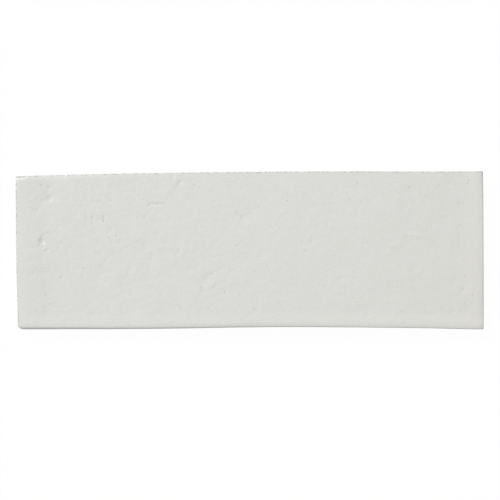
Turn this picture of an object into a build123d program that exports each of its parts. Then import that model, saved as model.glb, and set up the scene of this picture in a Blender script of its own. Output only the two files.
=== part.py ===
"""Glazed field tile: a hand-finished slab with a softly crowned face, rolled edges and a keyed back.

The tile lies on its back. X runs along its length, Y across it from the foot edge to the head edge,
and Z up out of the glazed face. The origin is the middle of the back, on the surface it lies on.
"""

import os
from math import cos, pi, radians, tan

from build123d import *
from numpy import arange, interp

# Trade size, in millimetres
tile_length = 225.0
tile_width = 75.0
tile_thickness = 10.0

# How far each edge strays outwards from the straight trade-size rectangle, at evenly spaced stations:
# the long edges from left to right, the short edges from foot to head
head_stray = (-1.85, -0.7, -0.05, 0.35, 0.6, 0.5, 0.6)
foot_stray = (0.6, 0.5, 0.25, -0.45, -0.5, -0.15, 0.6)
left_stray = (-1.15, -0.7, -0.3, -0.2, 0.0)
right_stray = (-0.15, -0.1, -0.2, -0.25, -0.5)

# Sides and edges: the walls lean in towards the back, the face edge is rolled over by the glaze
side_draft = 2.0
arris_radius = 0.7
back_edge_break = 0.4

# Each corner is rounder in plan than the arris that runs round it, by this much
head_left_ease = 0.1
head_right_ease = 0.1
foot_right_ease = 0.2
foot_left_ease = 1.5

# Face: crowned across its width, rolling down along its margins and carrying one long, low swell
crown_height = 0.2
roll_width = 4.0
roll_drop = 0.4
swell_height = 0.15
swell_length = 150.0
swell_shift = 15.0

# Back: long shallow keying grooves for the adhesive, with flat lands between and around them
groove_pitch = 10.5
groove_width = 5.5
groove_depth = 0.8
groove_draft = 20.0
groove_end_margin = 12.0
groove_side_margin = 5.0

# Waste above the face that the face surface trims away, and the gaps between that surface's stations
trim_height = 3.0
trim_overhang = 2.0
margin_gap = 1.0
middle_gap = 4.0

half_length = tile_length / 2
half_width = tile_width / 2


def along(stray, half_span):
    """Pair each stray of one edge with its station along that edge."""
    last = len(stray) - 1
    return [(half_span * (2 * station / last - 1), out) for station, out in enumerate(stray)]


def outline_edges(growth):
    """The points of the four edges, anticlockwise from the foot, grown outwards by a distance."""
    out_x = half_length + growth
    out_y = half_width + growth
    foot = [(x, -out_y - out) for x, out in along(foot_stray, out_x)]
    right = [(out_x + out, y) for y, out in along(right_stray, out_y)]
    head = [(x, out_y + out) for x, out in along(head_stray, out_x)]
    left = [(-out_x - out, y) for y, out in along(left_stray, out_y)]
    foot_left = (left[0][0], foot[0][1])
    foot_right = (right[0][0], foot[-1][1])
    head_right = (right[-1][0], head[-1][1])
    head_left = (left[-1][0], head[0][1])
    return (
        [foot_left, *foot[1:-1], foot_right],
        [foot_right, *right[1:-1], head_right],
        [head_right, *head[-2:0:-1], head_left],
        [head_left, *left[-2:0:-1], foot_left],
    )


def reach(stray, half_span, place, half_reach):
    """How far out an edge lies, at a place along it."""
    stations, outs = zip(*along(stray, half_span))
    return half_reach + interp(place, stations, outs)


def face_height(x, y):
    """Height of the glazed face: its crown and swell, less the roll that follows the four edges."""
    insets = (
        reach(foot_stray, half_length, x, half_width) + y,
        reach(head_stray, half_length, x, half_width) - y,
        reach(left_stray, half_width, y, half_length) + x,
        reach(right_stray, half_width, y, half_length) - x,
    )
    roll = roll_drop * sum(max(0.0, 1 - inset / roll_width) ** 3 for inset in insets)
    crown = crown_height * (y / half_width) ** 2
    swell = swell_height * cos(2 * pi * (x - swell_shift) / swell_length) * cos(pi * y / tile_width)
    return tile_thickness - crown + swell - roll


def spread(half_span):
    """Stations across a span: close together over the rolled margins, wider apart between them."""
    outer = half_span + trim_overhang
    inner = half_span - roll_width
    margin = list(arange(inner, outer, margin_gap)) + [outer]
    gaps = round(2 * inner / middle_gap)
    middle = [inner * (2 * gap / gaps - 1) for gap in range(1, gaps)]
    return [-place for place in reversed(margin)] + middle + margin


# The surface that the face is trimmed to, a little larger than the tile
face_surface = Face.make_surface_from_array_of_points(
    [
        [(x, y, face_height(x, y)) for y in spread(half_width)]
        for x in spread(half_length)
    ]
)

with BuildPart() as field_tile:
    # Slab with leaning walls, true to the outline at the height of the face
    for height in (0, tile_thickness + trim_height):
        with BuildSketch(Plane.XY.offset(height)):
            with BuildLine():
                for points in outline_edges((height - tile_thickness) * tan(radians(side_draft))):
                    Spline(*points)
            make_face()
    loft(ruled=True)

    # Crowned and swelling face
    extrude(face_surface, amount=2 * trim_height, dir=(0, 0, 1), mode=Mode.SUBTRACT)

    # Corners in plan, each with its own roundness
    uprights = field_tile.edges().filter_by(lambda edge: edge.bounding_box().size.Z > tile_thickness / 2)
    left_uprights = uprights.sort_by(Axis.X)[:2].sort_by(Axis.Y)
    right_uprights = uprights.sort_by(Axis.X)[2:].sort_by(Axis.Y)
    fillet(left_uprights[0], arris_radius + foot_left_ease)
    fillet(left_uprights[1], arris_radius + head_left_ease)
    fillet(right_uprights[0], arris_radius + foot_right_ease)
    fillet(right_uprights[1], arris_radius + head_right_ease)

    # Rolled arris round the face, and the broken edge round the back
    fillet(field_tile.faces().sort_by(Axis.Z)[-1].edges(), arris_radius)
    chamfer(field_tile.faces().sort_by(Axis.Z)[0].edges(), back_edge_break)

    # Keying grooves, an even number so that a land runs down the middle
    groove_pairs = int((half_width - groove_side_margin) / groove_pitch)
    with BuildSketch(Plane.XY):
        with GridLocations(0, groove_pitch, 1, 2 * groove_pairs):
            SlotOverall(tile_length - 2 * groove_end_margin, groove_width)
    extrude(amount=groove_depth, taper=groove_draft, mode=Mode.SUBTRACT)

field_tile.part.label = "field_tile"
os.makedirs("parts", exist_ok=True)
export_step(field_tile.part, "parts/field_tile.step")

box = field_tile.part.bounding_box()
print(f"field_tile {box.size.X:.2f} x {box.size.Y:.2f} x {box.size.Z:.2f} mm")
print(f"middle of the box at {box.center().X:.3f}, {box.center().Y:.3f} mm, {2 * groove_pairs} grooves")
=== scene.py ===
# %% [markdown]
# # A glazed field tile
#
# A field tile is one slab of clay that is pressed, dipped in glaze and fired. The CAD solid holds
# its size, its wandering outline and its grooved back. This lesson dresses that solid: one mesh for
# the whole tile, fine enough to carry the pits and creases of a hand-made glaze, and one material
# that is glossy glaze on the face and bare clay low on the sides and on the back. Everything is in
# metres and in the frame of the CAD solid: X runs along the tile, Y across it towards the head
# edge, and Z up out of the glazed face.

# %% Load the frame
import math
import random
from typing import NamedTuple

import bmesh
import bpy
import numpy as np
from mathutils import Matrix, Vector, noise
from mathutils.bvhtree import BVHTree
from numpy.polynomial import Polynomial
from numpy.polynomial.legendre import legvander2d


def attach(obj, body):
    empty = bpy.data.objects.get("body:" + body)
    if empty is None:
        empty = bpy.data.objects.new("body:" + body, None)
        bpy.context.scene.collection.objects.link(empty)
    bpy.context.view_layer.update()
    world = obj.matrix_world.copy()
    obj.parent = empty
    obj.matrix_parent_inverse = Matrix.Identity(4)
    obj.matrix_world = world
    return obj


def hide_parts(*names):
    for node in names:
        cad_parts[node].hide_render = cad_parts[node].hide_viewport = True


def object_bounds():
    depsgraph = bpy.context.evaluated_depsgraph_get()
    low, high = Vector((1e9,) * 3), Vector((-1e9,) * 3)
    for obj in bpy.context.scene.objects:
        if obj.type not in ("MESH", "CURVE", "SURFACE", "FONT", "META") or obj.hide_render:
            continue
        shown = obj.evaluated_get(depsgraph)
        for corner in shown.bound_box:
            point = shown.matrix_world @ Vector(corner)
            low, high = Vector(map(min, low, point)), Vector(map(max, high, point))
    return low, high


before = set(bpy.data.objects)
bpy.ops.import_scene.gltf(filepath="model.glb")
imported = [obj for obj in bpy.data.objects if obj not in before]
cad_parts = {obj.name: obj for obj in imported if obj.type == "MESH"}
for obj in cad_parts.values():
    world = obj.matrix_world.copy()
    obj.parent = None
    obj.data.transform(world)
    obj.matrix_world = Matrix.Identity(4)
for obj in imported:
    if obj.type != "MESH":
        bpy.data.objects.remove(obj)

MM = 0.001
cad_low, cad_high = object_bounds()
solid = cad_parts["field_tile"]
half_length = (cad_high.x - cad_low.x) / 2
half_width = (cad_high.y - cad_low.y) / 2
print("CAD box in mm:", [round(size / MM, 2) for size in cad_high - cad_low])

# %% [markdown]
# ## The camera
#
# The picture looks straight down on the tile from far away. A camera that isn't turned already
# looks along -Z with +Y up, so it only needs a place. A long lens keeps the sides hidden, as they
# are in the picture. The distance follows from the lens: the frame's width at the rim of the tile
# is the picture's width in pixels, times the size of one pixel. That size is the tile's length over
# the 468.5 pixels that it covers.

# %% Camera
PICTURE_PIXELS = 500
PIXEL = 0.48 * MM
ORIGIN_PIXEL = (249.81, 250.42)
RIM_HEIGHT = 8.6 * MM
LENS = 120.0
SENSOR = 36.0


def at_pixel(column, row):
    """The place on the tile that a point of the picture shows."""
    return (column - ORIGIN_PIXEL[0]) * PIXEL, (ORIGIN_PIXEL[1] - row) * PIXEL


camera_data = bpy.data.cameras.new("camera")
camera_data.lens = LENS
camera_data.sensor_width = SENSOR
camera = bpy.data.objects.new("camera", camera_data)
camera_distance = PICTURE_PIXELS * PIXEL * LENS / SENSOR
camera.location = (*at_pixel(PICTURE_PIXELS / 2, PICTURE_PIXELS / 2), RIM_HEIGHT + camera_distance)
bpy.context.scene.collection.objects.link(camera)
bpy.context.scene.camera = camera
print(f"one pixel is {PIXEL / MM:.2f} mm, the camera is {camera_distance:.3f} m above the rim")

# %% [markdown]
# ## The outline, read from the CAD solid
#
# Each edge of the tile wanders by its own amounts. The outline isn't drawn a second time here: rays
# are cast from the middle of the solid to its walls, and a smooth polynomial is fitted through the
# hits, because the solid's walls are made of long flat facets and a glossy edge would show them. An
# edge is then a function that says how far out the wall lies at a station along it.

# %% Edge curves
RAY_HEIGHT = 8.0 * MM
RAYS = 81
LONG_DEGREE = 9
SHORT_DEGREE = 5
CORNER_CLEARANCE = 5.0 * MM

walls = BVHTree.FromObject(solid, bpy.context.evaluated_depsgraph_get())


class TileEdge:
    """One of the four edges: the axis that it runs along, the way out of the tile, and its reach."""

    def __init__(self, axis, outward, half_span, degree):
        self.axis = np.array(axis, float)
        self.outward = np.array(outward, float)
        self.half_span = half_span
        stations = np.linspace(CORNER_CLEARANCE - half_span, half_span - CORNER_CLEARANCE, RAYS)
        reaches = [self.ray(station) for station in stations]
        self.reach = Polynomial.fit(stations, reaches, degree)
        self.slope = self.reach.deriv()
        self.misfit = max(abs(self.reach(stations) - reaches))

    def ray(self, station):
        start = Vector((*(self.axis * station), RAY_HEIGHT))
        hit = walls.ray_cast(start, Vector((*self.outward, 0.0)))[0]
        return float(np.dot(hit.xy, self.outward))

    def point(self, station):
        return self.axis * station + self.outward * self.reach(station)

    def normal(self, station):
        normal = self.outward - self.axis * self.slope(station)
        return normal / np.linalg.norm(normal)

    def inset(self, x, y):
        """How far inside this edge a place lies, and the station beside it."""
        station = x * self.axis[0] + y * self.axis[1]
        return self.reach(station) - (x * self.outward[0] + y * self.outward[1]), station

    def blend(self, station, values):
        """A value that runs through a few values, spaced evenly from the start of the edge to its end."""
        return np.interp(station, np.linspace(-self.half_span, self.half_span, len(values)), values)


edges = {
    "foot": TileEdge((1, 0), (0, -1), half_length, LONG_DEGREE),
    "right": TileEdge((0, 1), (1, 0), half_width, SHORT_DEGREE),
    "head": TileEdge((1, 0), (0, 1), half_length, LONG_DEGREE),
    "left": TileEdge((0, 1), (-1, 0), half_width, SHORT_DEGREE),
}
for name, edge in edges.items():
    print(f"{name} edge: the curve misses its rays by at most {edge.misfit / MM:.3f} mm")

# %% [markdown]
# ## The rim, a loop of stations round the face
#
# The face will be a sheet of small square cells that stops a little inside the edge, at the rim.
# The rolled edge and the walls will be extruded from its border. So the rim and the outline both
# need one point for each border cell. Along an edge these follow the edge curve. At a corner a few
# cells fan out round a small arc, and each corner has its own roundness.

# %% Rim stations
LONG_CELLS = 450
SHORT_CELLS = 150
FAN_CELLS = 3
RIM_INSET = 1.5 * MM
EDGE_CLEARANCE = 0.03 * MM
LEAST_RADIUS = 0.25 * MM
CORNER_STEPS = 4

# Each edge, the edge that follows it anticlockwise, its cells, and the roundness of the corner between them
LOOP = (
    ("foot", "right", LONG_CELLS, 0.6 * MM),
    ("right", "head", SHORT_CELLS, 0.45 * MM),
    ("head", "left", LONG_CELLS, 0.45 * MM),
    ("left", "foot", SHORT_CELLS, 2.2 * MM),
)


def unit(vector):
    return vector / np.linalg.norm(vector)


def corner_arc(name, following, radius, inset):
    """The arc at the end of an edge, drawn in by a distance: centre, radius and the two normals."""
    first, second = edges[name], edges[following]
    corner = (first.outward + second.outward) * (half_length, half_width)
    for _ in range(CORNER_STEPS):
        along_first = np.dot(first.axis, corner)
        along_second = np.dot(second.axis, corner)
        corner = second.outward * second.reach(along_second) + first.outward * first.reach(along_first)
    normals = first.normal(np.dot(first.axis, corner)), second.normal(np.dot(second.axis, corner))
    radius = max(radius - inset, LEAST_RADIUS)
    return corner - (radius + inset) * (normals[0] + normals[1]), radius, normals


def arc_point(arc, share):
    """A point a share of the way round a corner's arc."""
    centre, radius, (first, second) = arc
    return centre + radius * unit((1 - share) * first + share * second)


def outline_at(inset):
    """The outline drawn in by a distance, with one point for each border cell of the face."""
    arcs = {name: corner_arc(name, following, radius, inset) for name, following, cells, radius in LOOP}
    points = []
    for index, (name, following, cells, radius) in enumerate(LOOP):
        edge = edges[name]
        before, after = arcs[LOOP[index - 1][0]], arcs[name]
        start = np.dot(edge.axis, before[0])
        end = np.dot(edge.axis, after[0])
        for cell in range(cells):
            if cell < FAN_CELLS:
                points.append(arc_point(before, 0.5 + 0.5 * cell / FAN_CELLS))
            elif cell > cells - FAN_CELLS:
                points.append(arc_point(after, 0.5 * (cell - cells + FAN_CELLS) / FAN_CELLS))
            else:
                station = start + (end - start) * (cell - FAN_CELLS) / (cells - 2 * FAN_CELLS)
                points.append(edge.point(station) - inset * edge.normal(station))
    return np.array(points)


rim_points = outline_at(RIM_INSET)
edge_points = outline_at(EDGE_CLEARANCE)
rim_reach = RIM_INSET - EDGE_CLEARANCE
print(f"{len(rim_points)} rim stations, {2 * half_length / LONG_CELLS / MM:.2f} mm apart")

# %% [markdown]
# ## The face sheet
#
# The face starts as a flat grid. Blender's grid operator makes the cells, and every point is then
# moved to its place between the four edges of the rim: a Coons patch, which blends the two long
# edges and the two short edges and takes away their shared corners. The cells are about the size of
# one pixel of the picture, so real geometry can carry the pits.

# %% Grid of the face
body = bmesh.new()
bmesh.ops.create_grid(body, x_segments=LONG_CELLS, y_segments=SHORT_CELLS, size=1.0)
body.verts.ensure_lookup_table()


def grid_place(vert, long_cells, short_cells):
    """The column and row of a point of a grid that still has its first size."""
    return round((vert.co.x + 1) / 2 * long_cells), round((vert.co.y + 1) / 2 * short_cells)


cell_places = [grid_place(vert, LONG_CELLS, SHORT_CELLS) for vert in body.verts]
columns, rows = np.array(cell_places).T

closed_rim = np.vstack([rim_points, rim_points[:1]])
foot_line = closed_rim[: LONG_CELLS + 1]
right_line = closed_rim[LONG_CELLS : LONG_CELLS + SHORT_CELLS + 1]
head_line = closed_rim[LONG_CELLS + SHORT_CELLS : 2 * LONG_CELLS + SHORT_CELLS + 1][::-1]
left_line = closed_rim[2 * LONG_CELLS + SHORT_CELLS :][::-1]

u = (columns / LONG_CELLS)[:, None]
v = (rows / SHORT_CELLS)[:, None]
between_long = (1 - v) * foot_line[columns] + v * head_line[columns]
between_short = (1 - u) * left_line[rows] + u * right_line[rows]
shared_foot = (1 - u) * foot_line[0] + u * foot_line[-1]
shared_head = (1 - u) * head_line[0] + u * head_line[-1]
plan = between_long + between_short - (1 - v) * shared_foot - v * shared_head
x, y = plan[:, 0], plan[:, 1]
print(f"face sheet: {len(body.verts)} points, {len(body.faces)} cells")

# %% [markdown]
# ## The broad form of the face
#
# The CAD face is crowned and carries a long, low swell, but its triangles are too coarse for a
# gloss finish. Rays cast down on it give heights, and a low-order surface fitted to those heights
# is smooth.

# %% Crown and swell
FORM_MARGIN = 6.0 * MM
FORM_SAMPLES = (61, 21)
FORM_DEGREES = (8, 4)


def form_basis(x, y):
    return legvander2d(x / half_length, y / half_width, FORM_DEGREES)


sample_x, sample_y = np.meshgrid(
    np.linspace(FORM_MARGIN - half_length, half_length - FORM_MARGIN, FORM_SAMPLES[0]),
    np.linspace(FORM_MARGIN - half_width, half_width - FORM_MARGIN, FORM_SAMPLES[1]),
)
sample_x, sample_y = sample_x.ravel(), sample_y.ravel()
above = cad_high.z + MM
down = Vector((0, 0, -1))
sample_z = np.array([
    walls.ray_cast(Vector((px, py, above)), down)[0].z for px, py in zip(sample_x, sample_y)
])
form_weights = np.linalg.lstsq(form_basis(sample_x, sample_y), sample_z, rcond=None)[0]
form_misfit = abs(form_basis(sample_x, sample_y) @ form_weights - sample_z).max()
print(f"broad form: misses its rays by at most {form_misfit / MM:.3f} mm")

# %% [markdown]
# ## The margins
#
# Glaze is a liquid when it is fired, and it doesn't run out to every edge in the same way. It
# stands up as a faint bank along the foot, the right edge and the left edge, and then eases down.
# The easing is a parabola: flat where it starts and steepest at the edge. The head edge is nearly
# flat, apart from its left third. The corner between the head and the left edge has been knocked,
# so it slopes down in a small triangle. One function adds all of this up, because the rolled edge
# will ask for it again.

# %% Margins of the face
class Margin(NamedTuple):
    """How the face runs out to one edge, in millimetres, from the start of the edge to its end."""

    arris: tuple
    ease_width: float
    ease_depth: tuple
    bank_rise: tuple
    bank_start: float
    bank_crest: float


MARGINS = {
    "foot": Margin(
        arris=(1.2, 0.95, 0.6, 0.5, 0.5),
        ease_width=2.4,
        ease_depth=(0.50, 0.42, 0.46, 0.29, 0.25),
        bank_rise=(0.10, 0.15, 0.22),
        bank_start=7.5,
        bank_crest=2.5,
    ),
    "right": Margin(
        arris=(0.5, 0.8, 0.65, 0.55, 0.85),
        ease_width=2.8,
        ease_depth=(0.34, 0.20, 0.18, 0.25),
        bank_rise=(0.06, 0.12, 0.23),
        bank_start=9.0,
        bank_crest=2.9,
    ),
    "head": Margin(
        arris=(0.5, 0.4, 0.35, 0.35, 0.35),
        ease_width=2.6,
        ease_depth=(0.55, 0.12, 0.0, 0.0, 0.0),
        bank_rise=(0.0, 0.0),
        bank_start=10.0,
        bank_crest=3.0,
    ),
    "left": Margin(
        arris=(0.35, 0.35, 0.35),
        ease_width=5.5,
        ease_depth=(0.18, 0.14, 0.0),
        bank_rise=(0.22, 0.40, 0.58),
        bank_start=18.0,
        bank_crest=5.0,
    ),
}
# The knocked corner: how far it reaches in from the left edge and from the head, and how deep it goes
KNOCKED_REACH = {"left": 12.0 * MM, "head": 3.0 * MM}
KNOCKED_DEPTH = 0.26 * MM
KNOCKED_POWER = 1.2


def smooth_step(value, start, end):
    """0 at the start, 1 at the end, with a soft rise between."""
    share = np.clip((value - start) / (end - start), 0.0, 1.0)
    return share * share * (3 - 2 * share)


def margin_height(x, y):
    """What the margins add to the broad form at each place."""
    total = np.zeros_like(x)
    knocked = np.ones_like(x)
    for name, edge in edges.items():
        margin = MARGINS[name]
        inset, station = edge.inset(x, y)
        easing = np.clip(1 - inset / (margin.ease_width * MM), 0.0, None) ** 2
        bank = smooth_step(inset, margin.bank_start * MM, margin.bank_crest * MM)
        total += edge.blend(station, margin.bank_rise) * MM * bank
        total -= edge.blend(station, margin.ease_depth) * MM * easing
        if name in KNOCKED_REACH:
            knocked -= inset / KNOCKED_REACH[name]
    return total - KNOCKED_DEPTH * np.clip(knocked, 0.0, None) ** KNOCKED_POWER


def face_height(x, y):
    """The face without its relief: the broad form and the margins."""
    return form_basis(x, y) @ form_weights + margin_height(x, y)


height = face_height(x, y)
print(f"with its margins the face runs from {height.min() / MM:.2f} to {height.max() / MM:.2f} mm")

# %% [markdown]
# ## Relief in the glaze
#
# The glaze has closed over a rough clay body, so the face carries three kinds of relief: a low
# unevenness all over, which is noise at a few wavelengths and stronger towards the left; hundreds
# of small pinholes, scattered by a seeded generator; and the marks that stand out, which are placed
# one by one at their pixels. The unevenness comes first. It could be a displacement texture, but
# heights that Python holds in an array can be used again for the rim, and calmed where the glaze
# has pooled.

# %% Unevenness
LEFT_STRENGTH = 1.0
RIGHT_STRENGTH = 0.72
PATCH_LENGTH = 17.0 * MM
PATCH_STRENGTH = 0.7
# Wavelength and height of each layer of noise
UNEVENNESS = (
    (30.0 * MM, 0.150 * MM),
    (12.0 * MM, 0.088 * MM),
    (5.0 * MM, 0.062 * MM),
    (2.4 * MM, 0.042 * MM),
    (1.3 * MM, 0.022 * MM),
)
LAYER_GAP = 7.31
PATCH_LAYER = 11
# Where the glaze has pooled, along every edge but the head, the short waves are calmer
CALM_EDGES = ("foot", "right", "left")
CALM_START = 7.0 * MM
CALM_END = 3.0 * MM
CALM_SHARE = 0.55
CALM_WAVELENGTH = 6.0 * MM


def noise_field(x, y, wavelength, layer):
    """Smooth noise between about -1 and 1 at each place, on its own layer."""
    depth = LAYER_GAP * layer
    return np.array([
        noise.noise(Vector((px / wavelength, py / wavelength, depth))) for px, py in zip(x, y)
    ])


strength = LEFT_STRENGTH + (RIGHT_STRENGTH - LEFT_STRENGTH) * (x + half_length) / (2 * half_length)
strength = strength * (1.0 + PATCH_STRENGTH * noise_field(x, y, PATCH_LENGTH, PATCH_LAYER))
calm_inset = np.min([edges[name].inset(x, y)[0] for name in CALM_EDGES], axis=0)
calmed = 1.0 - CALM_SHARE * smooth_step(calm_inset, CALM_START, CALM_END)
for layer, (wavelength, amplitude) in enumerate(UNEVENNESS):
    waves = amplitude * strength * noise_field(x, y, wavelength, layer)
    height = height + (waves * calmed if wavelength < CALM_WAVELENGTH else waves)
print(f"unevenness in {len(UNEVENNESS)} layers")

# %% [markdown]
# ## Marks, pressed in as bells
#
# A pit could be cut with a boolean, but hundreds of cuts are slow and leave ragged cells. Here each
# mark is pressed into the heights as a small bell. For hollows and creases the places are warped by
# noise first, so that no hollow is a perfect circle. A second array remembers where the material is
# painted darker, as painted shade inside pinholes and creases.

# %% Press marks into the face
WARP = 0.30 * MM
WARP_LENGTH = 1.6 * MM
RAGGEDNESS = 0.9
RAGGED_LENGTH = 1.1 * MM
WARP_LAYERS = (21, 22)
RAGGED_LAYER = 23

warped_x = x + WARP * noise_field(x, y, WARP_LENGTH, WARP_LAYERS[0])
warped_y = y + WARP * noise_field(x, y, WARP_LENGTH, WARP_LAYERS[1])
ragged = np.clip(1.0 + RAGGEDNESS * noise_field(x, y, RAGGED_LENGTH, RAGGED_LAYER), 0.0, None)
# Painted shade: how much the material darkens each point, inside pinholes and creases
pit_shade = np.zeros_like(height)


def press(bell, depth, painted_shade=0.0):
    """Press a mark into the face, given its share of the depth at each point."""
    height[:] -= depth * bell
    # The mark's painted shade, kept where it is strongest
    pit_shade[:] = np.maximum(pit_shade, painted_shade * bell)


def press_pinhole(place, size, depth, painted_shade):
    """A small pit, centred on the nearest point of the sheet, so that it stays sharp."""
    nearest = np.argmin(np.hypot(x - place[0], y - place[1]))
    distance = np.hypot(x - x[nearest], y - y[nearest])
    press(np.exp(-((distance / size) ** 2)), depth, painted_shade)


def press_hollow(place, size, depth):
    """A broad pit with an uneven outline and no painted shade."""
    distance = np.hypot(warped_x - place[0], warped_y - place[1])
    press(np.exp(-((distance / size) ** 2)), depth)


def press_crease(places, size, depth, painted_shade):
    """A ragged groove along a line of places, or a ridge if its depth is below zero."""
    distance = np.full_like(height, half_length)
    for (ax, ay), (bx, by) in zip(places, places[1:]):
        run_x, run_y = bx - ax, by - ay
        share = ((warped_x - ax) * run_x + (warped_y - ay) * run_y) / (run_x**2 + run_y**2)
        share = np.clip(share, 0.0, 1.0)
        off_x = warped_x - ax - share * run_x
        off_y = warped_y - ay - share * run_y
        distance = np.minimum(distance, np.hypot(off_x, off_y))
    press(ragged * np.exp(-((distance / size) ** 2)), depth, painted_shade)


print(f"places warped by up to {WARP / MM:.2f} mm")

# %% [markdown]
# ## Pinholes and hollows by chance
#
# Gas leaves the clay while the glaze is soft, and each bubble that breaks late leaves a pinhole.
# There are far too many to place one by one, so a seeded generator scatters them, and every run
# gives the same tile. A random place is kept or thrown away by a chance that is higher in patches
# and towards the left.

# %% Scattered pinholes and hollows
SCATTER_SEED = 5
SCATTER_PATCH = 15.0 * MM
CROWDING = 0.5
CROWDING_IN_PATCHES = 0.6
LEFT_CROWDING = 1.3
RIGHT_CROWDING = 0.5
PINHOLE_COUNT = 420
PINHOLE_SIZE = (0.28 * MM, 0.42 * MM)
PINHOLE_DEPTH = (0.01 * MM, 0.04 * MM)
# How dark the bottom of a scattered pinhole is painted, as painted shade
PINHOLE_SHADE = (0.15, 0.55)
PINHOLE_RANGES = (PINHOLE_SIZE, PINHOLE_DEPTH, PINHOLE_SHADE)
HOLLOW_COUNT = 420
HOLLOW_SIZE = (0.42 * MM, 1.00 * MM)
HOLLOW_DEPTH = (0.015 * MM, 0.050 * MM)

scatter = random.Random(SCATTER_SEED)


def between(limits, share):
    return limits[0] + (limits[1] - limits[0]) * share


def scattered_places(count):
    """Places all over the face, crowded in patches and towards the left."""
    places = []
    while len(places) < count:
        place = scatter.uniform(-half_length, half_length), scatter.uniform(-half_width, half_width)
        patches = noise.noise(Vector((*place, 0.0)) / SCATTER_PATCH)
        towards_right = (place[0] + half_length) / (2 * half_length)
        chance = CROWDING + CROWDING_IN_PATCHES * patches
        chance *= between((LEFT_CROWDING, RIGHT_CROWDING), towards_right)
        if scatter.random() < chance:
            places.append(place)
    return places


for place in scattered_places(PINHOLE_COUNT):
    weight = scatter.random() ** 2
    press_pinhole(place, *(between(limits, weight) for limits in PINHOLE_RANGES))
for place in scattered_places(HOLLOW_COUNT):
    press_hollow(place, between(HOLLOW_SIZE, scatter.random()), between(HOLLOW_DEPTH, scatter.random()))
print(f"{PINHOLE_COUNT} scattered pinholes and {HOLLOW_COUNT} hollows")

# %% [markdown]
# ## The marks that stand out
#
# These are placed one by one, each at a column and a row of the picture. A pinhole is small and deep,
# with painted shade at the bottom, so it shows as a dark dot. A hollow is broad, with no painted
# shade, so it shows only by its light and dark sides. A crease is a line of places, where the glaze
# has closed over a fold in the clay, and a groove carries painted shade along it.

# %% Pinholes placed one by one
# Size, depth and painted shade of the pinholes; the shade darkens the bottom of each pit
DEEP_SIZE, DEEP_DEPTH, DEEP_SHADE = 0.45 * MM, 0.08 * MM, 0.95
PLAIN_SIZE, PLAIN_DEPTH, PLAIN_SHADE = 0.40 * MM, 0.05 * MM, 0.70


def at_mark(column, row):
    """The place of a mark in the middle of a pixel."""
    return at_pixel(column + 0.5, row + 0.5)


DEEP_PINHOLES = (
    (41, 184), (48, 186), (111, 200), (103, 220), (109, 237), (116, 235), (45, 250), (83, 267),
    (100, 264), (61, 277), (178, 182), (194, 185), (178, 250), (201, 287), (212, 273), (224, 292),
    (287, 200), (254, 309), (357, 183), (409, 187), (468, 180), (467, 183), (458, 203), (459, 225),
    (464, 276), (462, 288), (472, 295), (403, 322), (46, 294), (180, 308),
)
PLAIN_PINHOLES = (
    (54, 183), (64, 197), (75, 200), (87, 199), (92, 200), (99, 201), (127, 198), (129, 205),
    (33, 208), (58, 214), (30, 179), (70, 223), (126, 246), (119, 242), (25, 233), (118, 223),
    (156, 187), (172, 186), (186, 187), (198, 187), (194, 197), (189, 194), (174, 194), (166, 198),
    (144, 216), (154, 214), (180, 216), (213, 200), (213, 207), (219, 205), (236, 212), (226, 219),
    (224, 181), (206, 231), (160, 229), (143, 245), (186, 251), (173, 250), (241, 217), (250, 216),
    (245, 209), (258, 207), (287, 194), (299, 187), (303, 198), (322, 204), (330, 203), (270, 226),
    (278, 228), (333, 229), (323, 235), (301, 243), (296, 248), (305, 250), (349, 199), (347, 193),
    (360, 202), (367, 199), (453, 178), (448, 190), (439, 185), (424, 195), (420, 192), (413, 202),
    (422, 201), (405, 206), (411, 212), (419, 216), (445, 215), (417, 224), (413, 227), (426, 231),
    (36, 268), (32, 272), (51, 297), (36, 311), (93, 312), (107, 311), (114, 322), (122, 284),
    (82, 277), (95, 252), (112, 253), (150, 253), (150, 258), (131, 265), (175, 254), (189, 267),
    (180, 280), (170, 296), (176, 300), (166, 304), (157, 302), (228, 269), (219, 267), (206, 277),
    (203, 281), (202, 290), (205, 297), (213, 287), (257, 256), (277, 258), (306, 250), (334, 255),
    (266, 265), (280, 266), (287, 264), (254, 271), (246, 280), (266, 284), (290, 285), (317, 274),
    (324, 285), (315, 294), (279, 301), (288, 305), (284, 311), (239, 305), (239, 293), (299, 309),
    (412, 265), (409, 270), (419, 274), (413, 279), (389, 284), (397, 280), (51, 185), (44, 192),
    (47, 197), (29, 201), (31, 207), (37, 210), (40, 207), (56, 205), (61, 198), (454, 268),
    (452, 283), (403, 299), (422, 301), (364, 294), (424, 310), (463, 203), (464, 303), (471, 303),
)
for place in DEEP_PINHOLES:
    press_pinhole(at_mark(*place), DEEP_SIZE, DEEP_DEPTH, DEEP_SHADE)
for place in PLAIN_PINHOLES:
    press_pinhole(at_mark(*place), PLAIN_SIZE, PLAIN_DEPTH, PLAIN_SHADE)
print(f"{len(DEEP_PINHOLES)} deep and {len(PLAIN_PINHOLES)} plain pinholes placed by hand")
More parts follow.
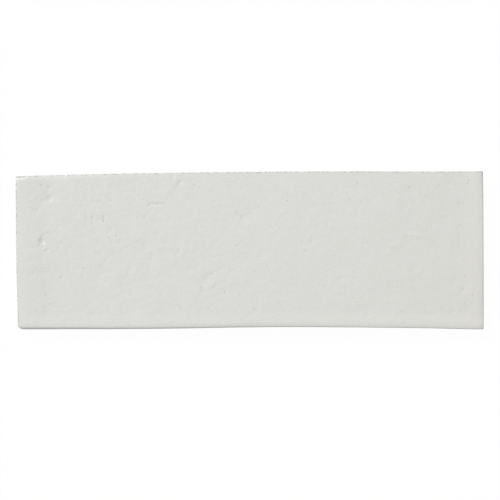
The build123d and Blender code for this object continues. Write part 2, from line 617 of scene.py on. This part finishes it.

# %% Hollows placed one by one
# Column and row of the picture, then size and depth in millimetres
HOLLOWS = (
    (42.0, 241.5, 1.2, 0.42), (47.0, 250.0, 0.8, 0.21), (49.0, 198.3, 1.3, 0.21),
    (43.0, 185.3, 0.7, 0.11), (49.3, 187.0, 0.9, 0.12), (42.5, 200.5, 0.8, 0.15),
    (29.5, 196.5, 0.7, 0.12), (109.0, 201.0, 1.1, 0.10), (43.0, 246.5, 0.7, 0.21),
    (180.5, 182.5, 1.6, 0.14), (226.5, 182.0, 1.0, 0.06), (243.5, 218.5, 2.0, 0.15),
    (208.0, 279.0, 2.0, 0.08), (341.3, 278.0, 1.1, 0.11), (189.0, 269.0, 1.6, 0.09),
    (94.8, 313.0, 1.0, 0.08), (130.0, 267.0, 1.0, 0.06), (359.0, 189.5, 1.2, 0.06),
    (440.0, 185.5, 0.9, 0.06), (232.0, 271.0, 1.2, 0.07), (262.0, 254.5, 1.8, 0.11),
    (110.0, 230.5, 0.8, 0.11), (115.0, 320.0, 0.8, 0.05), (107.0, 281.0, 1.0, 0.06),
    (84.5, 290.5, 1.0, 0.05), (58.5, 227.0, 0.7, 0.11), (151.0, 255.5, 0.8, 0.06),
    (177.0, 253.5, 1.2, 0.11), (311.0, 241.5, 0.9, 0.07), (195.0, 186.0, 0.8, 0.06),
    (224.0, 293.0, 1.1, 0.07), (213.5, 274.5, 1.0, 0.06), (173.0, 176.0, 1.0, 0.25),
    (471.0, 184.0, 0.8, 0.06), (452.5, 219.5, 0.9, 0.05), (414.0, 203.0, 0.9, 0.05),
    (36.0, 203.0, 6.0, 0.22), (455.0, 281.0, 1.8, 0.09), (462.0, 289.0, 1.6, 0.09),
    (251.5, 216.5, 1.6, 0.09), (288.0, 197.0, 1.2, 0.05), (306.5, 251.0, 0.8, 0.06),
    (62.0, 276.0, 0.9, 0.06), (333.0, 229.5, 0.9, 0.06),
)
for column, row, size, depth in HOLLOWS:
    press_hollow(at_mark(column, row), size * MM, depth * MM)
print(f"{len(HOLLOWS)} hollows placed by hand")

# %% Creases placed one by one
# The painted shade of a crease, for each millimetre of its depth
CREASE_SHADE = 3.8
# Columns and rows of the picture, then size and depth in millimetres
CREASES = (
    (((148, 206), (149, 203.4), (157, 203.4), (165, 203.0)), 0.50, 0.13),
    (((48, 232), (44.5, 234.2)), 0.45, 0.14),
    (((42.3, 236), (40, 240)), 0.50, 0.17),
    (((39.4, 243.5), (38.4, 247)), 0.45, 0.14),
    (((103, 214), (103, 221)), 0.45, 0.12),
    (((85, 213), (86.5, 217)), 0.40, 0.10),
    (((92, 216), (93, 223)), 0.40, 0.12),
    (((62, 241), (58.5, 246), (57.5, 251)), 0.50, 0.07),
    (((107, 189), (114, 186)), 0.50, 0.06),
    (((116, 243), (121, 240)), 0.50, 0.05),
    (((131, 242), (139, 242), (143, 245), (145, 249)), 0.50, 0.06),
    (((171, 249), (178, 249)), 0.50, 0.06),
    (((236, 247), (242.5, 239.5)), 0.40, 0.08),
    (((311, 237), (310, 245)), 0.60, 0.09),
    (((222, 269), (213, 271), (206, 275), (202, 281), (201, 288), (203, 297)), 0.80, 0.055),
    (((214, 296), (222, 292), (226, 288)), 0.80, 0.05),
    (((165, 199), (168, 197), (172, 193)), 0.80, 0.05),
    (((174, 190), (177, 184), (181, 180)), 0.80, 0.07),
    (((236, 212), (241, 216), (250, 213)), 0.90, 0.07),
    (((46, 308), (54, 310), (60, 311), (66, 309), (72, 308)), 0.70, -0.05),
    (((198, 297), (198, 308), (199, 321)), 0.70, 0.03),
    (((211, 288), (216, 285)), 0.50, 0.05),
    (((141, 301), (146, 295)), 0.50, 0.05),
    (((168, 302), (178, 302.5), (189, 302)), 0.60, -0.04),
    (((242, 320.5), (255, 309)), 0.50, 0.05),
    (((240, 293), (244, 289)), 0.40, 0.05),
    (((38.5, 297), (46, 294)), 0.45, 0.06),
    (((44, 308), (50, 304)), 0.45, 0.06),
    (((401, 235.5), (411, 234), (424, 236)), 0.70, -0.09),
    (((388, 245.5), (394, 245.5), (400, 244)), 0.70, -0.08),
    (((449, 313.5), (454.5, 310)), 0.45, 0.08),
    (((365.5, 252), (364.5, 257)), 0.40, 0.05),
    (((356.5, 180), (356.5, 185)), 0.45, 0.06),
    (((227, 207), (232, 206)), 0.50, 0.05),
    (((385.5, 274.5), (389.5, 272)), 0.45, 0.05),
    (((36.5, 269), (32, 273)), 0.45, 0.05),
)
for places, size, depth in CREASES:
    painted_shade = max(0.0, CREASE_SHADE * depth)
    press_crease([at_mark(*place) for place in places], size * MM, depth * MM, painted_shade)
print(f"{len(CREASES)} creases placed by hand")

# %% [markdown]
# ## Set the sheet
#
# The heights go into the sheet, lowered if need be so that nothing stands above the CAD solid. The
# border is extruded later. Extruded points copy the data of the points that they come from, so a
# number stored on each border point will tell every new point which rim station it belongs to.

# %% Heights into the sheet
height -= max(0.0, height.max() - cad_high.z)
# The painted shade of the pits goes onto the points for the material
pit_shade_layer = body.verts.layers.float.new("pit_shade")
worn_layer = body.verts.layers.float.new("worn_edge")
station_layer = body.verts.layers.int.new("rim_station")
border = [edge for edge in body.edges if edge.is_boundary]

station_of = {}
for column in range(LONG_CELLS):
    station_of[column, 0] = column
    station_of[LONG_CELLS - column, SHORT_CELLS] = LONG_CELLS + SHORT_CELLS + column
for row in range(SHORT_CELLS):
    station_of[LONG_CELLS, row] = LONG_CELLS + row
    station_of[0, SHORT_CELLS - row] = 2 * LONG_CELLS + SHORT_CELLS + row

rim_level = np.zeros(len(rim_points))
for vert, cell_place, place, level, shade_here in zip(body.verts, cell_places, plan, height, pit_shade):
    vert.co = (*place, level)
    vert[pit_shade_layer] = shade_here
    if cell_place in station_of:
        vert[station_layer] = station_of[cell_place]
        rim_level[station_of[cell_place]] = level
print(f"border of {len(border)} edges, {rim_level.min() / MM:.2f} to {rim_level.max() / MM:.2f} mm high")

# %% [markdown]
# ## What happens along the rim
#
# The rolled edge isn't the same all round: it is broad along the foot, and tight along the head and
# the left edge. There the glaze has drawn back into beads and has worn off in spots, most of all at
# the knocked corner. Each of these is a number for every rim station, blended along its own edge
# and then softened, so that one edge runs into the next.

# %% Arris, wear and beads along the rim
# How far the glaze has worn off each edge, and how strongly it stands in beads there:
# pairs of a share of the way along the edge and a value
WEAR = {
    "foot": ((0.0, 0.0),),
    "right": ((0.93, 0.0), (0.97, 0.6), (1.0, 0.8)),
    "head": (
        (0.0, 1.8), (0.012, 1.4), (0.02, 0.62), (0.25, 0.55), (0.5, 0.60), (0.75, 0.70), (1.0, 0.75),
    ),
    "left": ((0.0, 0.95), (0.05, 0.8), (0.09, 0.58), (0.95, 0.58), (0.97, 0.8), (1.0, 1.5)),
}
BEADING = {
    "foot": ((0.0, 0.3),),
    "right": ((0.0, 0.3),),
    "head": ((0.0, 0.0), (0.03, 0.3), (0.05, 1.1), (0.25, 1.0), (0.6, 0.6)),
    "left": ((0.0, 0.8), (0.9, 0.8), (1.0, 0.0)),
}
SECTION_SOFTENING = 5
# Wavelength and height of the beads
BEADS = ((1.1 * MM, 0.04 * MM), (1.9 * MM, 0.06 * MM), (4.5 * MM, 0.05 * MM))
BEAD_OVERHANG = 0.4
BEAD_LAYER = 31


def soften_round_rim(values):
    """A running mean along the closed rim."""
    kernel = np.ones(SECTION_SOFTENING) / SECTION_SOFTENING
    padded = np.concatenate([values[-SECTION_SOFTENING:], values, values[:SECTION_SOFTENING]])
    return np.convolve(padded, kernel, mode="same")[SECTION_SOFTENING:-SECTION_SOFTENING]


rim_x, rim_y = rim_points.T
insets, arris_widths, wears, beadings = [], [], [], []
for name, edge in edges.items():
    inset, station = edge.inset(rim_x, rim_y)
    insets.append(inset)
    arris_widths.append(edge.blend(station, MARGINS[name].arris) * MM)
    share = (station + edge.half_span) / (2 * edge.half_span)
    wears.append(np.interp(share, *zip(*WEAR[name])))
    beadings.append(np.interp(share, *zip(*BEADING[name])))
nearest = np.argmin(insets, axis=0)
arris_width = soften_round_rim(np.choose(nearest, arris_widths))
wear = soften_round_rim(np.choose(nearest, wears))
beads = soften_round_rim(np.choose(nearest, beadings)) * sum(
    amplitude * noise_field(rim_x, rim_y, wavelength, BEAD_LAYER + layer)
    for layer, (wavelength, amplitude) in enumerate(BEADS)
)
print(f"arris {arris_width.min() / MM:.2f} to {arris_width.max() / MM:.2f} mm wide")
print(f"beads up to {beads.max() / MM:.3f} mm high")

# %% [markdown]
# ## Rings, extruded one by one
#
# A bevel would give the edge one radius all round. Extruding the border ring by ring lets every
# station have its own: three rings over the last of the margin, six round a quarter of an ellipse,
# six down the leaning wall and one over the broken back edge.

# %% Extrude the margin, the arris, the wall and the back edge
MARGIN_RINGS = 3
ARRIS_RINGS = 6
WALL_RINGS = 6
ARRIS_STEEPNESS = 1.4
WALL_FOOT = 0.4 * MM
BACK_BREAK = 0.4 * MM
DRAFT = math.tan(math.radians(2.0))
WEAR_POWER = 3

arris_depth = ARRIS_STEEPNESS * arris_width
outward = (edge_points - rim_points) / rim_reach
rim_face = face_height(rim_x, rim_y)
bead_inset = BEAD_OVERHANG * (beads.max() - beads)


def place_ring(out):
    """Points in plan a distance out from the rim, and how far the face has dropped there."""
    places = rim_points + outward * out[:, None]
    return places, rim_level + face_height(*places.T) - rim_face


rings = []
for ring in range(1, MARGIN_RINGS + 1):
    share = ring / MARGIN_RINGS
    places, level = place_ring((rim_reach - arris_width) * share)
    rings.append((places, level + beads * share, wear * share**WEAR_POWER))
for ring in range(1, ARRIS_RINGS + 1):
    angle = math.pi / 2 * ring / ARRIS_RINGS
    drawn_in = arris_width * (1 - math.sin(angle)) + bead_inset * math.sin(angle)
    places, level = place_ring(rim_reach - drawn_in)
    level = level - arris_depth * (1 - math.cos(angle)) + beads * math.cos(angle)
    rings.append((places, level, wear))
arris_places, arris_foot, _ = rings[-1]
for ring in range(1, WALL_RINGS + 1):
    level = arris_foot + (WALL_FOOT - arris_foot) * ring / WALL_RINGS
    rings.append((arris_places - outward * (DRAFT * (arris_foot - level))[:, None], level, 0 * wear))
back_places = rings[-1][0] - outward * BACK_BREAK
rings.append((back_places, 0 * wear, 0 * wear))

for places, level, worn in rings:
    made = bmesh.ops.extrude_edge_only(body, edges=border)["geom"]
    for vert in (item for item in made if isinstance(item, bmesh.types.BMVert)):
        station = vert[station_layer]
        vert.co = (*places[station], level[station])
        vert[worn_layer] = worn[station]
        # The rolled edge and the walls carry no painted shade
        vert[pit_shade_layer] = 0.0
    border = [item for item in made if isinstance(item, bmesh.types.BMEdge) and item.is_boundary]
print(f"{len(rings)} rings extruded, {len(border)} border edges left at the back")

# %% [markdown]
# ## The grooved back
#
# The back is flat, so it needs far fewer cells than the face. It is a second, coarser grid, with
# six fine cells to one coarse cell. Its border is cut in six while it is still a plain square, so
# that every border point of the walls finds a partner by its column and row. Its lines across the
# tile are moved to the sides of the six keying grooves: a foot line and a floor line on each side
# of each groove, which with the two borders makes exactly the grid's 26 lines.

# %% Back grid
COARSE = 6
GROOVES = 6
GROOVE_PITCH = 10.5 * MM
GROOVE_WIDTH = 5.5 * MM
GROOVE_DEPTH = 0.8 * MM
GROOVE_DRAFT = math.tan(math.radians(20.0))
GROOVE_END = 12.0 * MM
GROOVE_LINES = 4
END_COLUMNS = 5
CLOSED_GAP = 0.1 * MM
long_coarse = LONG_CELLS // COARSE
short_coarse = SHORT_CELLS // COARSE

back = bmesh.new()
bmesh.ops.create_grid(back, x_segments=long_coarse, y_segments=short_coarse, size=1.0)
bmesh.ops.reverse_faces(back, faces=back.faces[:])
back_border = [edge for edge in back.edges if edge.is_boundary]
bmesh.ops.subdivide_edges(back, edges=back_border, cuts=COARSE - 1)

groove_half = GROOVE_WIDTH / 2
straight_reach = half_length - GROOVE_END - groove_half


def groove_column(column):
    """The place along X of a grid column, with extra columns round the grooves' ends."""
    side = -1 if 2 * column < long_coarse else 1
    steps = min(column, long_coarse - column)
    if steps <= END_COLUMNS:
        angle = math.pi / 2 * (steps - 1) / (END_COLUMNS - 1)
        return side * (straight_reach + groove_half * math.cos(angle))
    span = long_coarse - 2 * END_COLUMNS
    return straight_reach * (2 * (column - END_COLUMNS) / span - 1)


def groove_line(row, x):
    """The place along Y of a grid line inside the border, and how high it stands."""
    groove, line = divmod(row - 1, GROOVE_LINES)
    centre = (groove - (GROOVES - 1) / 2) * GROOVE_PITCH
    past = max(0.0, abs(x) - straight_reach)
    half = math.sqrt(max(groove_half**2 - past**2, 0.0))
    if half < CLOSED_GAP:
        return centre + (line - (GROOVE_LINES - 1) / 2) * CLOSED_GAP, 0.0
    floor_half = max(half - GROOVE_DEPTH * GROOVE_DRAFT, 0.0)
    offsets = (-half, -floor_half, floor_half, half)
    levels = (0.0, GROOVE_DEPTH, GROOVE_DEPTH, 0.0)
    return centre + offsets[line], levels[line]


for vert in back.verts:
    fine_place = grid_place(vert, LONG_CELLS, SHORT_CELLS)
    if fine_place in station_of:
        vert.co = (*back_places[station_of[fine_place]], 0.0)
    else:
        column, row = grid_place(vert, long_coarse, short_coarse)
        place = groove_column(column)
        line, level = groove_line(row, place)
        vert.co = (place, line, level)
print(f"back grid of {long_coarse} by {short_coarse} cells with {GROOVES} grooves")

# %% [markdown]
# ## One closed mesh
#
# The back goes into the body's mesh, and merging the pairs of border points closes it. A closed
# mesh has no edge with only one face, so counting such edges is a good test.

# %% Join the back to the walls
MERGE_DISTANCE = 0.002 * MM
back_mesh = bpy.data.meshes.new("grooved_back")
back.to_mesh(back_mesh)
back.free()
body.from_mesh(back_mesh)
bpy.data.meshes.remove(back_mesh)
open_rims = [vert for vert in body.verts if vert.is_boundary]
bmesh.ops.remove_doubles(body, verts=open_rims, dist=MERGE_DISTANCE)
open_edges = sum(not edge.is_manifold for edge in body.edges)
print(f"back joined to the walls, {open_edges} edges left open")

# %% [markdown]
# ## The piece
#
# The mesh becomes an object at the origin, in place of the CAD solid. Its faces are shaded smooth,
# except across edges that turn sharply, such as the sides of the grooves.

# %% Make the piece
SHARP_ANGLE = math.radians(35)
tile_mesh = bpy.data.meshes.new("glazed_tile")
body.to_mesh(tile_mesh)
body.free()
tile_mesh.polygons.foreach_set("use_smooth", [True] * len(tile_mesh.polygons))
tile_mesh.set_sharp_from_angle(angle=SHARP_ANGLE)
tile = bpy.data.objects.new("glazed_tile", tile_mesh)
bpy.context.scene.collection.objects.link(tile)
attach(tile, "root")
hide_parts("field_tile")
tile_mesh.calc_loop_triangles()
print(f"{len(tile_mesh.vertices)} points, {len(tile_mesh.loop_triangles)} triangles")

# %% [markdown]
# ## Shader maths in Python
#
# A material is a graph of nodes, and arithmetic on its values is one Math node for each step. A
# small class that wraps a socket lets Python write those steps: adding two wires adds a Math node
# and returns its wire.

# %% Wires and graphs
class Wire:
    """A node's output socket that takes part in arithmetic."""

    def __init__(self, graph, socket):
        self.graph = graph
        self.socket = socket

    def step(self, operation, *values):
        return self.graph.node("ShaderNodeMath", {"operation": operation}, dict(enumerate(values)))

    def __add__(self, other):
        return self.step("ADD", self, other)

    def __sub__(self, other):
        return self.step("SUBTRACT", self, other)

    def __rsub__(self, other):
        return self.step("SUBTRACT", other, self)

    def __mul__(self, other):
        return self.step("MULTIPLY", self, other)

    __radd__ = __add__
    __rmul__ = __mul__

    def ramp(self, start, end):
        """0 at the start and 1 at the end of a range of values, with a soft rise between."""
        settings = {"interpolation_type": "SMOOTHSTEP", "clamp": True}
        return self.graph.node("ShaderNodeMapRange", settings, {0: self, 1: start, 2: end}, "Result")


class Graph:
    """The node graph of a material or of the world."""

    def __init__(self, owner):
        owner.use_nodes = True
        self.tree = owner.node_tree
        self.tree.nodes.clear()

    def node(self, kind, settings=None, sockets=None, output=0):
        """Add a node, set its settings, then fill or link its sockets, and return one output as a wire."""
        made = self.tree.nodes.new(kind)
        for setting, value in (settings or {}).items():
            setattr(made, setting, value)
        for key, value in (sockets or {}).items():
            socket = made.inputs[key]
            if isinstance(value, Wire):
                self.tree.links.new(value.socket, socket)
            else:
                socket.default_value = value
        return Wire(self, made.outputs[output] if len(made.outputs) else None)

    def mix(self, factor, first, second):
        """A blend of two colours."""
        return self.node("ShaderNodeMix", {"data_type": "RGBA"}, {0: factor, 6: first, 7: second}, 2)

    def speckle(self, place, size, detail=2.0, roughness=0.5):
        """Noise between 0 and 1, with features of about the given size."""
        sockets = {"Vector": place, "Scale": 1 / size, "Detail": detail, "Roughness": roughness}
        return self.node("ShaderNodeTexNoise", {"noise_dimensions": "3D"}, sockets, "Fac")

    def stored(self, name):
        """A number that is stored on the points of the mesh."""
        return self.node("ShaderNodeAttribute", {"attribute_name": name}, output="Fac")

    def seen_directly(self):
        """1 for rays from the camera, a gloss or glass, and 0 for the light that falls on things."""
        kinds = ("Is Camera Ray", "Is Glossy Ray", "Is Transmission Ray")
        return sum(self.node("ShaderNodeLightPath", output=kind) for kind in kinds)


def colour(red, green, blue):
    """A colour picked on the screen, from 0 to 255, as the linear values that a shader wants."""
    return tuple(
        level / 12.92 if level <= 0.04045 else ((level + 0.055) / 1.055) ** 2.4
        for level in (red / 255, green / 255, blue / 255)
    ) + (1.0,)


print("a mid grey of 128 is", round(colour(128, 128, 128)[0], 4), "in linear light")

# %% [markdown]
# ## The dip line
#
# The tile was dipped face down, so the glaze ends on the sides along an uneven line. How far each
# point lies above that line is worked out here and stored on the mesh for the material.

# %% Height above the dip line
DIP_LINE = 6.4 * MM
DIP_LAYER = 41
# Wavelength and height of the line's wander
DIP_WANDER = ((26.0 * MM, 1.0 * MM), (7.0 * MM, 0.6 * MM))

points = np.empty(len(tile_mesh.vertices) * 3)
tile_mesh.vertices.foreach_get("co", points)
points = points.reshape(-1, 3)
dip_wander = sum(
    amplitude * noise_field(points[:, 0], points[:, 1], wavelength, DIP_LAYER + layer)
    for layer, (wavelength, amplitude) in enumerate(DIP_WANDER)
)
above_dip = (points[:, 2] - DIP_LINE - dip_wander) / MM
attribute = tile_mesh.attributes.new("above_dip", "FLOAT", "POINT")
attribute.data.foreach_set("value", above_dip.astype(np.float32))
print(f"points lie {above_dip.min():.1f} to {above_dip.max():.1f} mm above the dip line")

# %% [markdown]
# ## The colours
#
# The glaze is a warm white that turns a little cooler towards the left, and it is painted a touch
# darker towards the right, which is painted shade. The clay is buff.
# Colours are written as they look on the screen, and the light will be set to a level that keeps
# them so.

# %% Colours of the glaze and the clay
# Partly painted shade: the glaze turns warmer to the right, and its colours also grow darker there as
# painted shade
LEFT_GLAZE = colour(220.2, 220.9, 218.3)
MIDDLE_GLAZE = colour(219.2, 219.8, 215.6)
RIGHT_GLAZE = colour(217.1, 217.0, 212.6)
MOTTLED_GLAZE = colour(206, 202, 196)
# Painted shade: the glaze colour used for the darkening in pits, in creases and towards the foot
SHADED_GLAZE = colour(173, 167, 159)
WORN_CLAY = colour(178, 172, 162)
CLAY = colour(206, 186, 164)
DARK_CLAY = colour(178, 152, 126)
PALE_CLAY = colour(214, 198, 178)
print("the glaze in the middle is", [round(level, 3) for level in MIDDLE_GLAZE[:3]], "in linear light")

# %% [markdown]
# ## The patterns
#
# Four noises drive the material. They use Object coordinates, which are metres on the tile, so a
# pattern has a real size: a fine one for ragged borders, a grain for the clay, clouds in the clay's
# colour and a mottle in the glaze.

# %% Patterns
FINE_SIZE = 0.9 * MM
GRAIN_SIZE = 0.35 * MM
CLOUD_SIZE = 14.0 * MM
MOTTLE_SIZE = 0.7 * MM
PATTERN_DETAIL = 3.0
GRAIN_ROUGHNESS = 0.65

material = bpy.data.materials.new("white_glaze_over_clay")
graph = Graph(material)
place = graph.node("ShaderNodeTexCoord", output="Object")
along = graph.node("ShaderNodeSeparateXYZ", sockets={0: place}, output="X")
across = graph.node("ShaderNodeSeparateXYZ", sockets={0: place}, output="Y")
fine = graph.speckle(place, FINE_SIZE, PATTERN_DETAIL)
grain = graph.speckle(place, GRAIN_SIZE, PATTERN_DETAIL, GRAIN_ROUGHNESS)
cloud = graph.speckle(place, CLOUD_SIZE, PATTERN_DETAIL)
mottle = graph.speckle(place, MOTTLE_SIZE)
# The fine pattern about zero, for borders that wander to both sides
wander = fine - 0.5
print(f"{len(graph.tree.nodes)} nodes for places and patterns")

# %% [markdown]
# ## The glaze
#
# The glaze is finely mottled. Painted shade makes it a little darker towards the foot, and dark at
# the bottom of a pinhole or a crease. That share is squared, so that the painted shade of a pinhole
# stays a small dot. Along the worn edges the fine pattern decides, spot by spot, whether glaze or
# clay shows.

# %% Glaze
WARM_START = 20.0 * MM
# How much painted shade darkens the glaze at the foot
FOOT_SHADE_SHARE = 0.025
MOTTLE_LIMITS = (0.3, 0.7)
MOTTLE_SHARE = 0.27
WORN_SPREAD = 2.2
WORN_LIMITS = (0.45, 0.75)
WORN_SHARE = 0.8

# Partly painted shade: a real shift in tone, plus glaze painted darker towards the right
glaze = graph.mix(along.ramp(-half_length, WARM_START), LEFT_GLAZE, MIDDLE_GLAZE)
glaze = graph.mix(along.ramp(WARM_START, half_length), glaze, RIGHT_GLAZE)
# Painted shade: the glaze is painted darker towards the foot
glaze = graph.mix(across.ramp(half_width, -half_width) * FOOT_SHADE_SHARE, glaze, SHADED_GLAZE)
glaze = graph.mix(mottle.ramp(*MOTTLE_LIMITS) * MOTTLE_SHARE, glaze, MOTTLED_GLAZE)
# Painted shade: the bottoms of pinholes and creases are painted dark
shade_in_pits = graph.stored("pit_shade")
glaze = graph.mix(shade_in_pits * shade_in_pits, glaze, SHADED_GLAZE)
worn = (graph.stored("worn_edge") + wander * WORN_SPREAD).ramp(*WORN_LIMITS)
glaze = graph.mix(worn * WORN_SHARE, glaze, WORN_CLAY)
print(f"{len(graph.tree.nodes)} nodes with the glaze")

# %% [markdown]
# ## The clay
#
# Below the dip line and on the back the clay is bare. Its colour drifts in soft clouds, and dark
# grains of the coarser clay show all over it.

# %% Clay
CLOUD_LIMITS = (0.35, 0.65)
GRAIN_LIMITS = (0.55, 0.75)
DARK_GRAIN_SHARE = 0.6

clay = graph.mix(cloud.ramp(*CLOUD_LIMITS), CLAY, PALE_CLAY)
clay = graph.mix(grain.ramp(*GRAIN_LIMITS) * DARK_GRAIN_SHARE, clay, DARK_CLAY)
print(f"{len(graph.tree.nodes)} nodes with the clay")

# %% [markdown]
# ## One shader for both
#
# Two materials would leave a hard border along faces. The glaze is fused to the clay, so one shader
# does both: a mask above the ragged dip line picks the colour, the roughness and the height of the
# fine grain.

# %% Shader of the tile
# How far the dip line frays, how soft it is, and the heights of the fine relief, in millimetres
DIP_FRAYING = 0.8
DIP_SOFTNESS = 0.12
CLAY_GRAIN = 0.08
GLAZE_GRAIN = 0.08
GLOSS_ROUGHNESS = 0.18
CLAY_ROUGHNESS = 0.85
WORN_DULLNESS = 0.9
GLAZE_IOR = 1.5

dipped = (graph.stored("above_dip") + wander * DIP_FRAYING).ramp(-DIP_SOFTNESS, DIP_SOFTNESS)
gloss = dipped * (1 - worn * WORN_DULLNESS)
relief = (1 - dipped) * grain * CLAY_GRAIN + dipped * fine * GLAZE_GRAIN
bump = {"Strength": 1.0, "Distance": MM, "Height": relief}
surface = {
    "Base Color": graph.mix(dipped, clay, glaze),
    "Roughness": CLAY_ROUGHNESS - gloss * (CLAY_ROUGHNESS - GLOSS_ROUGHNESS),
    "Normal": graph.node("ShaderNodeBump", {}, bump, "Normal"),
    "IOR": GLAZE_IOR,
}
shader = graph.node("ShaderNodeBsdfPrincipled", {}, surface, "BSDF")
graph.node("ShaderNodeOutputMaterial", sockets={"Surface": shader})
tile_mesh.materials.append(material)
print(f"{len(graph.tree.nodes)} nodes in {material.name}")

# %% [markdown]
# ## The floor
#
# The picture has a white ground. The floor is a plain pale sheet, and most of what the camera sees
# of it is white by itself, so that the ground is white without more light on the tile. The rest is
# a matt surface, which keeps the tile's soft shadow and throws light back at its sides. It lies a
# hair below the back, because two faces at one height would flicker into each other.

# %% Floor
FLOOR_SIZE = 3.0
FLOOR_GAP = 0.02 * MM
WHITE_SHARE = 0.98
FLOOR_GREY = (0.85, 0.85, 0.85, 1.0)
WHITE = (1.0, 1.0, 1.0, 1.0)

floor_mesh = bpy.data.meshes.new("floor")
floor_shape = bmesh.new()
bmesh.ops.create_grid(floor_shape, x_segments=1, y_segments=1, size=FLOOR_SIZE / 2)
floor_shape.to_mesh(floor_mesh)
floor_shape.free()
floor = bpy.data.objects.new("floor", floor_mesh)
floor.location.z = -FLOOR_GAP
bpy.context.scene.collection.objects.link(floor)

floor_material = bpy.data.materials.new("white_floor")
graph = Graph(floor_material)
matt = graph.node("ShaderNodeBsdfDiffuse", {}, {"Color": FLOOR_GREY})
white = graph.node("ShaderNodeEmission", {}, {"Color": WHITE, "Strength": 1.0})
share = graph.seen_directly() * WHITE_SHARE
mixed = graph.node("ShaderNodeMixShader", {}, {0: share, 1: matt, 2: white})
graph.node("ShaderNodeOutputMaterial", sockets={"Surface": mixed})
floor_mesh.materials.append(floor_material)
print(f"floor {FLOOR_SIZE} m wide")

# %% [markdown]
# ## The light
#
# The pits are dark on their upper left side, and the foot and the right edge are dark, so the key
# light stands at the upper left. A wide sun gives it soft edges. An even white world fills the
# rest, at a level where the glaze comes out about as it is written.

# %% Key light and world
KEY_AZIMUTH = math.radians(45)
KEY_ELEVATION = math.radians(48)
KEY_STRENGTH = 3.045
KEY_ANGLE = math.radians(20)
WORLD_LEVEL = 0.28

key_data = bpy.data.lights.new("key", "SUN")
key_data.energy = KEY_STRENGTH
key_data.angle = KEY_ANGLE
key = bpy.data.objects.new("key", key_data)
towards_key = Vector((
    -math.sin(KEY_AZIMUTH) * math.cos(KEY_ELEVATION),
    math.cos(KEY_AZIMUTH) * math.cos(KEY_ELEVATION),
    math.sin(KEY_ELEVATION),
))
key.rotation_euler = towards_key.to_track_quat("Z", "Y").to_euler()
bpy.context.scene.collection.objects.link(key)

world = bpy.data.worlds.new("studio")
bpy.context.scene.world = world
graph = Graph(world)
level = WORLD_LEVEL + graph.seen_directly() * (1 - WORLD_LEVEL)
sky = graph.node("ShaderNodeBackground", {}, {"Color": WHITE, "Strength": level})
graph.node("ShaderNodeOutputWorld", sockets={"Surface": sky})
bpy.context.scene.view_settings.view_transform = "Standard"
print(f"key light of {KEY_STRENGTH}, world of {WORLD_LEVEL}")
